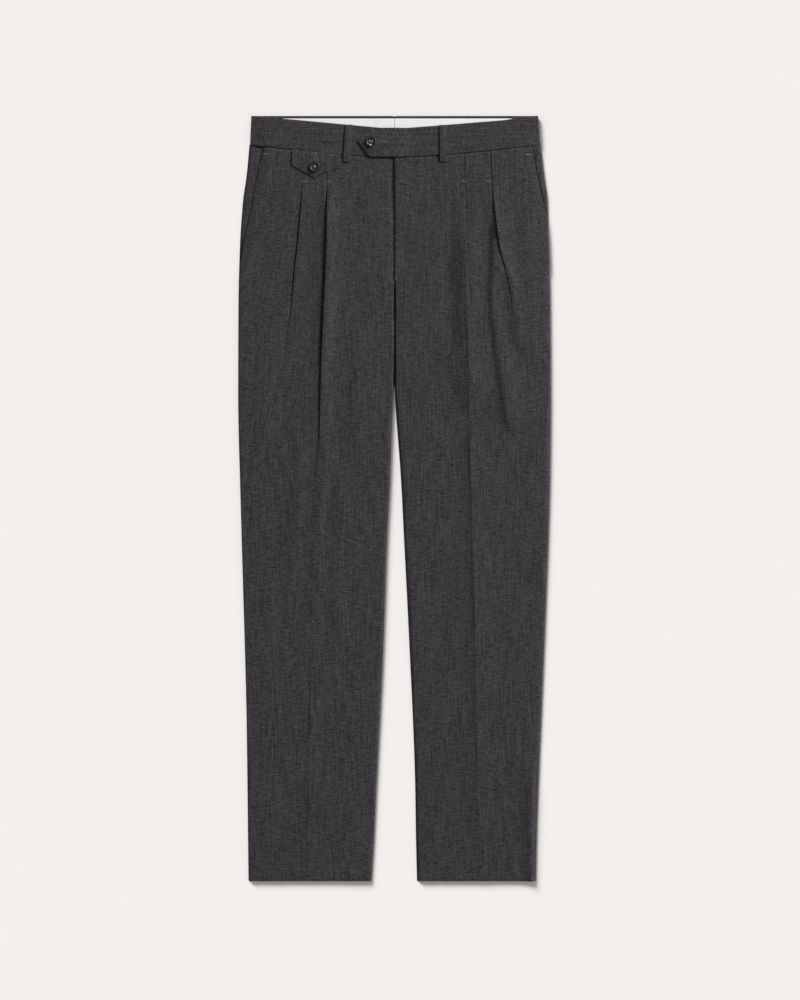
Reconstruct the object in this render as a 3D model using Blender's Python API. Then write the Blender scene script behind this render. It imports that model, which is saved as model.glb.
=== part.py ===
"""Pleated dress trousers, laid flat on a surface with the front up.

Frame: the origin is at the middle of the outline, on the surface. +Y runs from the hems to the
waist, +X to the wearer's left, +Z up. Sizes are in millimetres and become metres in to_metres.
"Right" and "left" in names are the wearer's own. The right leg lies at -X and the left leg at +X.

Every cloth piece is a grid of points on its middle surface, moved into place and given a wall by
a Solidify modifier. Places across the garment are measured as "out", the distance from the centre
line towards the side seam, so that one function serves both legs.
"""
import math
from collections import namedtuple

import bmesh
import bpy
from mathutils import Vector

# ---------------------------------------------------------------- driving dimensions, millimetres

WAIST_TOP = 538.5          # top edge of the back waistband
BAND_HEIGHT = 40.0         # waistband, seam to top edge
SEAM_GAP = 0.3             # clear space between neighbouring pieces

CLOTH_WALL = 1.2           # wool panels
BAND_WALL = 1.6            # front waistband, cloth on canvas
BACK_BAND_WALL = 1.4
LINING_WALL = 1.0
FLAP_WALL = 1.0
LOOP_WALL = 1.0
REAR_LOOP_WALL = 1.1

BAND_SEAM_CENTRE = 480.4   # the front band's lower seam at the fly
BAND_SEAM_RISE = 18.6      # how much higher that seam lies at the side
BAND_SEAM_CURVE = 1.5      # exponent of the seam's rise
BAND_SEAM_HALF_WIDTH = 206.0
BAND_TOP_CENTRE = 521.4    # the front band's top edge at the fly
BAND_TOP_CURVE = 1.2       # exponent of the top edge's rise
BAND_TOP_FLAT = 15.0       # half of the top edge's level stretch at the fly
WAIST_HALF_WIDTH = 202.4   # half of the laid waist
BAND_FALL_START = 181.0    # how far out the front band begins to fall to the side seam
BAND_FALL_WIDTH = 22.0
LINING_LOW = 501.0         # lower edge of the back band's lining
LINING_HEIGHT = 34.3

TAB_SHOULDER = -35.0       # x where the tab begins to taper
TAB_SHOULDER_MIDDLE = 501.0
TAB_HALF_WIDTH = 20.5
TAB_POINT = -51.2          # x of the tab's point
TAB_POINT_MIDDLE = 502.7
TAB_POINT_HALF_WIDTH = 0.9
TAB_LIFT_START = 34.0      # x where the left band begins to lift over the right one
TAB_LIFT_WIDTH = 26.0

PANEL_TOP = 480.0          # upper edge of the front panels at the fly
PANEL_RISE_START = 420.0   # above this the panels' sections lift to follow the band's seam
SIDE_FALL = 14.0           # width over which a front panel falls to its side seam
FLY_UNDERLAP = 4.0         # how far the right front runs under the left front
POCKET_BOTTOM = 318.0      # where the slanted pocket mouth meets the side seam
FACING_UNDERLAP = 11.0     # how far a pocket facing runs under the pocket mouth

FOLD_RADIUS = 0.8          # radius of a folded edge at the middle of the wall
FOLD_STEPS = 3             # straight steps in each folded edge
SHORTEST_RUN = 0.6         # the cloth between a pleat's two folded edges where it has opened

# Heights of the middle surfaces above the resting surface.
BACK_PANEL_LEVEL = CLOTH_WALL / 2
SEAM_LEVEL = CLOTH_WALL + SEAM_GAP + CLOTH_WALL / 2
MOUTH_LEVEL = SEAM_LEVEL + CLOTH_WALL + SEAM_GAP
REAR_LOOP_LEVEL = REAR_LOOP_WALL / 2
BACK_BAND_LEVEL = REAR_LOOP_WALL + SEAM_GAP + BACK_BAND_WALL / 2
BACK_BAND_TOP = BACK_BAND_LEVEL + BACK_BAND_WALL / 2
LINING_LEVEL = BACK_BAND_TOP + SEAM_GAP + LINING_WALL / 2
BAND_LEVEL = LINING_LEVEL + LINING_WALL / 2 + SEAM_GAP + BAND_WALL / 2
BAND_SIDE_LEVEL = BACK_BAND_TOP + SEAM_GAP + BAND_WALL / 2
TAB_LEVEL = BAND_LEVEL + BAND_WALL + SEAM_GAP
FRONT_TOP = SEAM_LEVEL + 4 * FOLD_RADIUS
FLAP_LEVEL = FRONT_TOP + CLOTH_WALL / 2 + SEAM_GAP + FLAP_WALL / 2

BUTTON_DIAMETER = 14.8
BUTTON_THICKNESS = 2.6
BUTTON_HOLE_DIAMETER = 1.7
BUTTON_HOLE_PITCH = 3.2
BUTTON_SIDES = 32
BUTTON_HOLE_SIDES = 10
WAIST_BUTTON_PLACE = (-33.0, 502.0)
FOB_BUTTON_PLACE = (-112.2, 466.6)

LOOP_WIDTH = 10.6
LOOP_ARCH = 1.1            # how far a front loop bows off the band
LOOP_BELOW_SEAM = 10.5     # how far a front loop runs past the band's lower seam
FRONT_LOOPS = {"right": (-67.2, -63.9), "left": (69.0, 68.2)}      # x at the bottom and the top
REAR_LOOPS = {"right": -118.0, "centre": 0.0, "left": 118.0}
FLAP_LEAN = 3.0            # how far the fob flap's inner end leans over at its top

CHARCOAL = (0.044, 0.042, 0.046, 1.0)
CHARCOAL_UNDER = (0.036, 0.034, 0.038, 1.0)
LINING_WHITE = (0.75, 0.76, 0.75, 1.0)
HORN_BROWN = (0.018, 0.014, 0.012, 1.0)

# ------------------------------------------------------------------------- tables, millimetres

# Outer edge of the laid garment: y, and how far out it lies on the right and left legs.
Side = namedtuple("Side", "y right left")
OUTSEAM = (
    Side(538.5, 202.4, 202.4),
    Side(480.0, 205.6, 207.8),
    Side(415.0, 213.9, 216.0),
    Side(350.0, 218.0, 217.8),
    Side(280.0, 219.8, 219.4),
    Side(145.0, 220.3, 220.3),
    Side(26.0, 217.7, 219.1),
    Side(-143.0, 212.9, 213.6),
    Side(-312.0, 208.4, 206.7),
    Side(-480.0, 206.4, 200.4),
    Side(-538.5, 205.7, 199.4),
)

# Inner edge of each leg below the crotch.
INSEAM = (
    Side(223.0, 0.2, 0.2),
    Side(160.0, 0.3, 0.3),
    Side(145.0, 1.5, 0.8),
    Side(94.0, 3.7, 4.4),
    Side(26.0, 6.1, 9.2),
    Side(-58.0, 10.3, 13.5),
    Side(-228.0, 16.5, 22.0),
    Side(-397.0, 25.0, 29.0),
    Side(-480.0, 28.9, 30.3),
    Side(-538.5, 32.4, 31.7),
)

# The slanted pocket mouth, a folded edge of the front panel.
POCKET_MOUTH = (
    Side(497.0, 183.0, 193.0),
    Side(449.0, 194.0, 201.8),
    Side(400.0, 203.0, 213.0),
    Side(364.0, 211.5, 216.8),
    Side(318.0, 218.8, 218.5),
)

# The front panel's height where it lies free, from waist to hem.
Crest = namedtuple("Crest", "y level")
CREST = (
    Crest(480.0, 5.3),
    Crest(150.0, 5.3),
    Crest(-100.0, 4.9),
    Crest(-538.5, 4.0),
)

# The front panel's inner edge: how far out it lies, its height, the width over which the panel
# falls to it, and how hollow that fall is.
Edge = namedtuple("Edge", "y out level fall hollow")
FLY_EDGE_RIGHT = (
    Edge(480.0, -FLY_UNDERLAP, 4.0, 18.0, 2.0),
    Edge(318.0, -FLY_UNDERLAP, 4.0, 18.0, 2.0),
    Edge(305.0, 0.2, 3.9, 12.0, 1.5),
    Edge(290.0, 0.2, 4.0, 9.0, 1.0),
    Edge(223.0, 0.2, 2.5, 14.0, 1.0),
    Edge(160.0, 0.3, 2.1, 14.0, 1.0),
)
FLY_EDGE_LEFT = (
    Edge(480.0, 0.0, 5.8, 30.0, 1.0),
    Edge(318.0, 0.0, 5.7, 30.0, 1.0),
    Edge(305.0, 0.2, 5.2, 16.0, 1.0),
    Edge(290.0, 0.2, 4.1, 10.0, 1.0),
    Edge(223.0, 0.2, 2.5, 14.0, 1.0),
    Edge(160.0, 0.3, 2.1, 14.0, 1.0),
)

# A pleat, from the band down to where it has opened out: the place of its folded edge, the run of
# cloth between its two folded edges, the angle each edge turns through, and the length over which
# the cloth outside it dives under.
Pleat = namedtuple("Pleat", "y fold run turn dive")
RIGHT_OUTER_PLEAT = (
    Pleat(499.0, 128.3, 12.0, 180.0, 4.0),
    Pleat(447.0, 129.4, 12.0, 180.0, 4.0),
    Pleat(378.0, 134.6, 9.0, 180.0, 12.0),
    Pleat(322.0, 140.6, 6.0, 180.0, 14.0),
    Pleat(266.0, 146.0, 1.5, 150.0, 14.0),
    Pleat(209.0, 153.0, 0.6, 30.0, 16.0),
    Pleat(150.0, 158.0, 0.6, 0.0, 18.0),
)
RIGHT_INNER_PLEAT = (
    Pleat(499.0, 93.3, 12.0, 180.0, 4.0),
    Pleat(447.0, 94.2, 12.0, 180.0, 4.0),
    Pleat(350.0, 96.6, 10.0, 180.0, 14.0),
    Pleat(266.0, 100.4, 7.0, 180.0, 14.0),
    Pleat(209.0, 103.0, 5.5, 180.0, 14.0),
    Pleat(125.0, 104.8, 1.5, 180.0, 16.0),
    Pleat(68.0, 107.2, 0.6, 80.0, 18.0),
    Pleat(20.0, 110.0, 0.6, 0.0, 18.0),
    Pleat(-480.0, 121.0, 0.6, 0.0, 18.0),
)
LEFT_OUTER_PLEAT = (
    Pleat(499.0, 132.4, 12.0, 180.0, 4.0),
    Pleat(447.0, 134.0, 12.0, 180.0, 4.0),
    Pleat(378.0, 138.7, 9.0, 180.0, 12.0),
    Pleat(350.0, 144.0, 7.5, 180.0, 14.0),
    Pleat(322.0, 151.5, 5.0, 180.0, 16.0),
    Pleat(266.0, 161.8, 1.0, 120.0, 16.0),
    Pleat(209.0, 168.5, 0.6, 20.0, 16.0),
    Pleat(170.0, 171.0, 0.6, 0.0, 16.0),
    Pleat(-538.5, 160.0, 0.6, 0.0, 16.0),
)
LEFT_INNER_PLEAT = (
    Pleat(499.0, 97.5, 12.0, 180.0, 4.0),
    Pleat(447.0, 98.7, 12.0, 180.0, 4.0),
    Pleat(350.0, 102.3, 6.0, 180.0, 6.0),
    Pleat(238.0, 104.0, 0.6, 60.0, 8.0),
    Pleat(150.0, 104.3, 0.6, 30.0, 10.0),
    Pleat(-26.0, 108.0, 0.6, 20.0, 12.0),
    Pleat(-256.0, 115.0, 0.6, 15.0, 12.0),
    Pleat(-480.0, 115.6, 0.6, 0.0, 12.0),
)

Leg = namedtuple("Leg", "side name fly_edge outer_pleat inner_pleat")
RIGHT = Leg(-1, "right", FLY_EDGE_RIGHT, RIGHT_OUTER_PLEAT, RIGHT_INNER_PLEAT)
LEFT = Leg(1, "left", FLY_EDGE_LEFT, LEFT_OUTER_PLEAT, LEFT_INNER_PLEAT)

# Heights at which the front panels are sectioned, closer together along the pleats.
FRONT_SECTIONS = (
    480.0, 470.0, 458.0, 447.0, 436.0, 420.0, 398.0, 374.0, 350.0, 330.0, 318.0, 305.0, 290.0,
    266.0, 238.0, 209.0, 180.0, 150.0, 110.0, 68.0, 20.0, -90.0, -230.0, -390.0, -510.0, -538.5,
)
BACK_SECTIONS = (
    498.2, 460.0, 415.0, 350.0, 280.0, 223.0, 160.0, 145.0, 94.0, 26.0, -58.0, -143.0, -228.0,
    -312.0, -397.0, -480.0, -538.5,
)
FACING_SECTIONS = (498.2, 470.0, 440.0, 415.0, 390.0, 364.0, 345.0, 330.0)


# -------------------------------------------------------------------------------- shared helpers

def at(table, y, column):
    """The column's value at y, on a smooth curve through the table's rows, which run downwards."""
    rows = list(table)
    if y >= rows[0].y:
        return getattr(rows[0], column)
    if y <= rows[-1].y:
        return getattr(rows[-1], column)
    index = max(i for i, row in enumerate(rows) if row.y >= y and i < len(rows) - 1)
    high, low = rows[index], rows[index + 1]

    def slope(a, b):
        return (getattr(b, column) - getattr(a, column)) / (b.y - a.y)

    inner = slope(high, low)
    before = slope(rows[index - 1], high) if index > 0 else inner
    after = slope(low, rows[index + 2]) if index + 2 < len(rows) else inner
    start = 0.0 if before * inner <= 0 else 2 * before * inner / (before + inner)
    end = 0.0 if after * inner <= 0 else 2 * after * inner / (after + inner)
    span = low.y - high.y
    s = (y - high.y) / span
    return (
        getattr(high, column) * (2 * s ** 3 - 3 * s ** 2 + 1)
        + getattr(low, column) * (3 * s ** 2 - 2 * s ** 3)
        + start * span * (s ** 3 - 2 * s ** 2 + s)
        + end * span * (s ** 3 - s ** 2)
    )


def to_metres(x, y, z):
    return Vector((x, y, z)) * 0.001


def band_seam(x):
    """The front waistband's lower seam."""
    share = abs(x) / BAND_SEAM_HALF_WIDTH
    return BAND_SEAM_CENTRE + BAND_SEAM_RISE * share ** BAND_SEAM_CURVE


def band_top(x):
    """The front waistband's top edge."""
    across = max(abs(x) - BAND_TOP_FLAT, 0.0) / (WAIST_HALF_WIDTH - BAND_TOP_FLAT)
    return BAND_TOP_CENTRE + (WAIST_TOP - BAND_TOP_CENTRE) * min(across, 1.0) ** BAND_TOP_CURVE


def finish(material_name, colour, roughness):
    """A plain material, made once for each name."""
    material = bpy.data.materials.get(material_name)
    if material is None:
        material = bpy.data.materials.new(material_name)
        material.use_nodes = True
        shader = material.node_tree.nodes["Principled BSDF"]
        shader.inputs["Base Color"].default_value = colour
        shader.inputs["Roughness"].default_value = roughness
        shader.inputs["Metallic"].default_value = 0.0
    return material


def cloth(name, columns, rows, place, wall, colour=CHARCOAL):
    """A grid of columns by rows cells, its corners moved to place(column, row), given a wall."""
    mesh = bpy.data.meshes.new(name)
    grid = bmesh.new()
    bmesh.ops.create_grid(grid, x_segments=columns, y_segments=rows, size=1.0)
    for vert in grid.verts:
        column = round((vert.co.x + 1.0) / 2.0 * columns)
        row = round((vert.co.y + 1.0) / 2.0 * rows)
        vert.co = to_metres(*place(column, row))
    grid.to_mesh(mesh)
    grid.free()
    mesh.shade_smooth()
    piece = bpy.data.objects.new(name, mesh)
    bpy.context.scene.collection.objects.link(piece)
    solidify = piece.modifiers.new("wall", "SOLIDIFY")
    solidify.thickness = wall * 0.001
    solidify.offset = 0.0
    solidify.use_even_offset = True
    mesh.materials.append(finish(name + "_finish", colour, 0.85))
    return piece


def strip(name, stations, place, wall, colour=CHARCOAL, rows=2):
    """A band-like piece: place(station, part) gives a point, with part from 0 to 1 across it."""
    def corner(column, row):
        return place(stations[column], row / rows)

    return cloth(name, len(stations) - 1, rows, corner, wall, colour)


# ---------------------------------------------------------------------------------- front panels

def pleat_path(pleat, y, crest):
    """Points (inwards, height) through one pleat, from its outer side, with the fold at 0."""
    turn = math.radians(at(pleat, y, "turn"))
    run = max(at(pleat, y, "run"), SHORTEST_RUN)
    dive = at(pleat, y, "dive")
    arc_step = math.pi * FOLD_RADIUS / FOLD_STEPS
    bend = turn / FOLD_STEPS
    chord = arc_step if bend < 0.01 else 2 * (arc_step / bend) * math.sin(bend / 2)
    inwards, height, heading = 0.0, 0.0, 0.0
    points = [(inwards, height)]
    for direction in (1, -1):
        for _ in range(FOLD_STEPS):
            inwards += chord * math.cos(heading + direction * bend / 2)
            height += chord * math.sin(heading + direction * bend / 2)
            heading += direction * bend
            points.append((inwards, height))
        if direction == 1:
            inwards += run * math.cos(heading)
            height += run * math.sin(heading)
            points.append((inwards, height))
            under_edge = inwards
    squeeze = min(1.0, (crest - SEAM_LEVEL) / max(height, 0.01))
    folded = [(along - under_edge + FOLD_RADIUS, crest + (up - height) * squeeze)
              for along, up in points]
    low = folded[0][1]
    foot = min(0.0, folded[0][0] - 1.0)
    approach = [(-dive, crest), ((foot - dive) / 2, (crest + low) / 2), (foot, low)]
    return approach + folded


def fall(edge_level, crest, width, hollow, distance):
    """The panel's height at a distance from one of its edges."""
    share = min(max(distance / width, 0.0), 1.0)
    return edge_level + (crest - edge_level) * math.sin(math.pi / 2 * share) ** hollow


def front_section(leg, y):
    """Points (out, height) across a front panel, from its side seam or pocket mouth to the fly."""
    crest = at(CREST, y, "level")
    in_pocket = y >= POCKET_BOTTOM
    outer = at(POCKET_MOUTH if in_pocket else OUTSEAM, y, leg.name)
    outer_level = MOUTH_LEVEL if in_pocket else SEAM_LEVEL
    points = []
    for share in (0.0, 0.3, 0.65, 1.0):
        height = fall(outer_level, crest, SIDE_FALL, 1.0, share * SIDE_FALL)
        points.append((outer - share * SIDE_FALL, height))
    for pleat in (leg.outer_pleat, leg.inner_pleat):
        fold = at(pleat, y, "fold")
        points += [(fold - inwards, height) for inwards, height in pleat_path(pleat, y, crest)]
    if y > INSEAM[1].y:
        edge = {column: at(leg.fly_edge, y, column) for column in Edge._fields[1:]}
    else:
        lowest = leg.fly_edge[-1]
        edge = {"out": at(INSEAM, y, leg.name), "level": lowest.level,
                "fall": lowest.fall, "hollow": lowest.hollow}
    points.append(((points[-1][0] + edge["out"] + edge["fall"]) / 2, crest))
    for share in (1.0, 0.65, 0.3, 0.0):
        distance = share * edge["fall"]
        height = fall(edge["level"], crest, edge["fall"], edge["hollow"], distance)
        points.append((edge["out"] + distance, height))
    return points


def front_panel(leg):
    sections = [front_section(leg, y) for y in FRONT_SECTIONS]

    def place(column, row):
        out, height = sections[row][column]
        y = FRONT_SECTIONS[row]
        share = max(y - PANEL_RISE_START, 0.0) / (PANEL_TOP - PANEL_RISE_START)
        rise = band_seam(out) - SEAM_GAP / 2 - PANEL_TOP
        return leg.side * out, y + rise * share, height

    return cloth("front_" + leg.name, len(sections[0]) - 1, len(sections) - 1, place, CLOTH_WALL)


# ----------------------------------------------------------------------- back panels and facings

def back_panel(leg):
    columns = 4

    def place(column, row):
        y = BACK_SECTIONS[row]
        outer = at(OUTSEAM, y, leg.name)
        inner = at(INSEAM, y, leg.name)
        return leg.side * (inner + (outer - inner) * column / columns), y, BACK_PANEL_LEVEL

    return cloth("back_" + leg.name, columns, len(BACK_SECTIONS) - 1, place, CLOTH_WALL)


def pocket_facing(leg):
    """The strip of the pocket that shows between its mouth and the side seam."""
    columns = 3

    def place(column, row):
        y = FACING_SECTIONS[row]
        outer = at(OUTSEAM, y, leg.name)
        inner = at(POCKET_MOUTH, y, leg.name) - FACING_UNDERLAP
        return leg.side * (inner + (outer - inner) * column / columns), y, SEAM_LEVEL

    return cloth("pocket_facing_" + leg.name, columns, len(FACING_SECTIONS) - 1, place,
                 CLOTH_WALL, CHARCOAL_UNDER)


# ------------------------------------------------------------------------------------- waistband

def waistband_back(leg):
    def place(out, part):
        y = WAIST_TOP - BAND_HEIGHT + SEAM_GAP / 2 + part * (BAND_HEIGHT - SEAM_GAP / 2)
        widest = at(OUTSEAM, y, leg.name)
        return leg.side * min(out, widest), y, BACK_BAND_LEVEL

    stations = (0.2, 50.0, 100.0, 150.0, 207.0)
    return strip("waistband_back_" + leg.name, stations, place, BACK_BAND_WALL)


def waistband_lining(leg):
    """The pale inner face of the back band, in two halves with the centre seam between them."""
    def place(out, part):
        return leg.side * out, LINING_LOW + part * LINING_HEIGHT, LINING_LEVEL

    stations = (0.2, 45.0, 90.0, 135.0, 178.0)
    return strip("waistband_lining_" + leg.name, stations, place, LINING_WALL, LINING_WHITE)


def band_height_at(out):
    """The front band lies level, and falls to the back band at the side seam."""
    share = min(max((out - BAND_FALL_START) / BAND_FALL_WIDTH, 0.0), 1.0)
    return BAND_LEVEL + (BAND_SIDE_LEVEL - BAND_LEVEL) * share ** 2 * (3 - 2 * share)


def waistband_front_right():
    def place(out, part):
        low = band_seam(out) + SEAM_GAP / 2
        y = low + (band_top(out) - low) * part
        return -min(out, at(OUTSEAM, y, "right")), y, band_height_at(out)

    stations = (-3.0, 20.0, 50.0, 80.0, 110.0, 140.0, 165.0, 181.0, 188.0, 196.0, 207.0)
    return strip("waistband_front_right", stations, place, BAND_WALL)


def waistband_front_left():
    """The left front band, whose pointed tab runs over the right band and takes the button."""
    def place(x, part):
        if x > 0:
            low, high = band_seam(x) + SEAM_GAP / 2, band_top(x)
        else:
            taper = min((x - TAB_POINT) / (TAB_SHOULDER - TAB_POINT), 1.0)
            middle = TAB_POINT_MIDDLE + (TAB_SHOULDER_MIDDLE - TAB_POINT_MIDDLE) * taper
            reach = TAB_POINT_HALF_WIDTH + (TAB_HALF_WIDTH - TAB_POINT_HALF_WIDTH) * taper
            low, high = middle - reach, middle + reach
        y = low + (high - low) * part
        lift = min(max((TAB_LIFT_START - x) / TAB_LIFT_WIDTH, 0.0), 1.0)
        level = band_height_at(x) + (TAB_LEVEL - BAND_LEVEL) * lift ** 2 * (3 - 2 * lift)
        return min(x, at(OUTSEAM, y, "left")), y, level

    stations = (TAB_POINT, -43.0, TAB_SHOULDER, -15.0, 0.0, 8.0, 15.0, 22.0, 34.0, 60.0, 90.0,
                120.0, 150.0, 170.0, 181.0, 188.0, 196.0, 209.0)
    return strip("waistband_front_left", stations, place, BAND_WALL)


# ------------------------------------------------------------- fob flap, belt loops and buttons

def fob_flap():
    """A small pointed flap hanging from the right band seam over the watch pocket."""
    Corner = namedtuple("Corner", "x low")
    lower_edge = (Corner(-144.3, 468.8), Corner(-129.0, 460.3), Corner(-113.2, 452.0),
                  Corner(-96.0, 458.7), Corner(-79.0, 465.4))

    point, inner_end = lower_edge[2], lower_edge[4]

    def place(corner, part):
        lean = FLAP_LEAN * max(corner.x - point.x, 0.0) / (inner_end.x - point.x)
        x = corner.x + lean * part
        high = band_seam(x) - SEAM_GAP / 2
        return x, corner.low + (high - corner.low) * part, FLAP_LEVEL

    return strip("fob_flap", lower_edge, place, FLAP_WALL, CHARCOAL, rows=3)


def front_loop(side):
    """A belt loop, bowed off the band, from its top edge to just below its lower seam."""
    bottom_x, top_x = FRONT_LOOPS[side]
    middle = (bottom_x + top_x) / 2
    low, high = band_seam(middle) - LOOP_BELOW_SEAM, band_top(middle)
    ends = FRONT_TOP + CLOTH_WALL / 2 + SEAM_GAP + LOOP_WALL / 2

    def place(part, across):
        x = bottom_x + (top_x - bottom_x) * part + (across - 0.5) * LOOP_WIDTH
        return x, low + (high - low) * part, ends + LOOP_ARCH * math.sin(math.pi * part)

    stations = [step / 8 for step in range(9)]
    return strip("belt_loop_front_" + side, stations, place, LOOP_WALL)


def rear_loop(side):
    """A plain belt loop under the back band, flat on the resting surface."""
    low, high = WAIST_TOP - BAND_HEIGHT + SEAM_GAP, WAIST_TOP

    def place(part, across):
        x = REAR_LOOPS[side] + (across - 0.5) * LOOP_WIDTH
        return x, low + (high - low) * part, REAR_LOOP_LEVEL

    name = "belt_loop_rear_" + side
    return strip(name, [0.0, 0.5, 1.0], place, REAR_LOOP_WALL, CHARCOAL, rows=1)


def button(name, centre, base):
    """A turned four-hole button: a dished face inside a raised rim, rounded to a flat back."""
    radius = BUTTON_DIAMETER / 2
    Turn = namedtuple("Turn", "radius height")
    profile = (
        Turn(0.0, 0.0),
        Turn(radius * 0.72, 0.0),
        Turn(radius * 0.94, BUTTON_THICKNESS * 0.28),
        Turn(radius, BUTTON_THICKNESS * 0.62),
        Turn(radius * 0.95, BUTTON_THICKNESS * 0.92),
        Turn(radius * 0.86, BUTTON_THICKNESS),
        Turn(radius * 0.76, BUTTON_THICKNESS * 0.90),
        Turn(radius * 0.66, BUTTON_THICKNESS * 0.64),
        Turn(0.0, BUTTON_THICKNESS * 0.58),
    )
    turned = bmesh.new()
    verts = [turned.verts.new((turn.radius, 0.0, turn.height)) for turn in profile]
    edges = [turned.edges.new(pair) for pair in zip(verts, verts[1:])]
    bmesh.ops.spin(turned, geom=verts + edges, cent=(0, 0, 0), axis=(0, 0, 1),
                   angle=2 * math.pi, steps=BUTTON_SIDES, use_merge=True)
    bmesh.ops.remove_doubles(turned, verts=turned.verts, dist=0.001)
    bmesh.ops.recalc_face_normals(turned, faces=turned.faces)
    bmesh.ops.scale(turned, vec=(0.001, 0.001, 0.001), verts=turned.verts)
    bmesh.ops.translate(turned, vec=to_metres(centre[0], centre[1], base), verts=turned.verts)
    mesh = bpy.data.meshes.new(name)
    turned.to_mesh(mesh)
    turned.free()
    mesh.shade_smooth()
    mesh.set_sharp_from_angle(angle=math.radians(40))
    mesh.materials.append(finish(name + "_finish", HORN_BROWN, 0.3))
    piece = bpy.data.objects.new(name, mesh)
    bpy.context.scene.collection.objects.link(piece)

    drills = bmesh.new()
    for dx, dy in ((-1, -1), (1, -1), (-1, 1), (1, 1)):
        drill = bmesh.ops.create_cone(
            drills, cap_ends=True, segments=BUTTON_HOLE_SIDES,
            radius1=BUTTON_HOLE_DIAMETER / 2000, radius2=BUTTON_HOLE_DIAMETER / 2000,
            depth=BUTTON_THICKNESS * 0.003)
        offset = BUTTON_HOLE_PITCH / 2
        move = to_metres(centre[0] + dx * offset, centre[1] + dy * offset,
                         base + BUTTON_THICKNESS / 2)
        bmesh.ops.translate(drills, vec=move, verts=drill["verts"])
    cutter_mesh = bpy.data.meshes.new(name + "_drills")
    drills.to_mesh(cutter_mesh)
    drills.free()
    cutter = bpy.data.objects.new(name + "_drills", cutter_mesh)
    bpy.context.scene.collection.objects.link(cutter)
    cutter.hide_render = True
    cutter.display_type = "WIRE"
    cut = piece.modifiers.new("holes", "BOOLEAN")
    cut.operation = "DIFFERENCE"
    cut.object = cutter
    return piece


# -------------------------------------------------------------------------------------- assembly

for leftover in list(bpy.data.objects):
    bpy.data.objects.remove(leftover, do_unlink=True)

for each_leg in (RIGHT, LEFT):
    back_panel(each_leg)
    waistband_back(each_leg)
    waistband_lining(each_leg)
    pocket_facing(each_leg)
    front_panel(each_leg)

waistband_front_right()
waistband_front_left()
fob_flap()
for loop_side in FRONT_LOOPS:
    front_loop(loop_side)
for loop_side in REAR_LOOPS:
    rear_loop(loop_side)
button("waist_button", WAIST_BUTTON_PLACE, TAB_LEVEL + BAND_WALL / 2 + SEAM_GAP)
button("fob_button", FOB_BUTTON_PLACE, FLAP_LEVEL + FLAP_WALL / 2 + SEAM_GAP)
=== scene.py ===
"""Pleated dress trousers in charcoal worsted, laid flat with the front up.

Sizes in the tables are millimetres, in the frame's own axes: +Y to the waist, +X to the wearer's
left, +Z up off the surface. "Right" and "left" are the wearer's own.
"""
import math
from collections import namedtuple

import bmesh
import bpy
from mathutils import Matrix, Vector, noise


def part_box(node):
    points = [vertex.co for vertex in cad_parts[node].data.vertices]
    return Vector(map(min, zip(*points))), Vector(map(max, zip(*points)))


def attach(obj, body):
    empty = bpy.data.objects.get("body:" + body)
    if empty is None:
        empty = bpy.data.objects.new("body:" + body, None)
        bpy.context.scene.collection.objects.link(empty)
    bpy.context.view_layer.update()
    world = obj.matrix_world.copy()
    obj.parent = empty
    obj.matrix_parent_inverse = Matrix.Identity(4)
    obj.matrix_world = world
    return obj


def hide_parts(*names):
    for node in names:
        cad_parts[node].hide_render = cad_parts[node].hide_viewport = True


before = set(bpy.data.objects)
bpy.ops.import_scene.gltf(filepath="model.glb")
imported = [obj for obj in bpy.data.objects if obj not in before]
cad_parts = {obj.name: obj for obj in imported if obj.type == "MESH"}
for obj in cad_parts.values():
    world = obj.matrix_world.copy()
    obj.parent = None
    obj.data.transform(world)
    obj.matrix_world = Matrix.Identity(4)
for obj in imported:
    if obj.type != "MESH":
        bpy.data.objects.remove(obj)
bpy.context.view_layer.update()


# ------------------------------------------------------------------------------- front panels
# Two pieces of worsted, each cut with two reverse pleats that are sewn down for the first 35 mm
# and then left to open. The pocket mouth at the side is a folded edge, and the left panel's
# folded fly edge laps over the right panel. The hems are turned up inside.

WOOL_WALL = 0.7
FOLD_RADIUS = 0.45         # middle of the wall round a sharp folded edge
HEM_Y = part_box("front_left")[0].y * 1000
PANEL_TOP = 480.0          # the height that the rows start at, before they rise to the band's seam
SEAT_LOW = 159.0           # lower end of the centre seams, where the inseams start
POCKET_LOW = 318.0         # where the pocket mouth runs into the side seam
MOUTH_LEVEL = 3.9          # height of the pocket mouth's folded edge
EDGE_RISE = 13.0           # width over which a folded edge rises to the panel's crest
FLY_LOW, FLY_FULL = 303.0, 313.0         # the fly's lap ends between these
FLY_LEVEL, UNDERLAP_LEVEL = 5.55, 3.85   # height of the fly's folded edge and of the lap under it
FLY_EDGE, UNDERLAP_EDGE = 0.8, -7.0      # how far out from the middle each of those edges lies
SEWN_LOW = 446.5           # lower end of the pleats' sewn part
FLOOR_OF_FRONT = 1.0       # the front panels' edges at the side seams and inseams
SIDE_ROLL = {"right": 1.8, "left": 8.5}     # width over which a front rolls to its side seam
HEM_RETURN = 30.0          # depth of the turned-up hem inside
BACK_BAND_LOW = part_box("waistband_back_left")[0].y * 1000 - 0.3


def table(kind, columns, *rows):
    """Rows of numbers under named columns."""
    return [namedtuple(kind, columns)(*row) for row in rows]


POCKET_MOUTH = table(      # how far out each pocket's mouth lies
    "Row", "y right left", (497.0, 183.0, 193.0), (449.0, 194.0, 201.8), (400.0, 203.0, 213.0),
    (364.0, 211.5, 216.8), (318.0, 218.8, 218.5),
)
CREST = table("Row", "y height", (480.0, 5.3), (150.0, 5.3), (-100.0, 4.9), (-538.5, 4.0))

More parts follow.
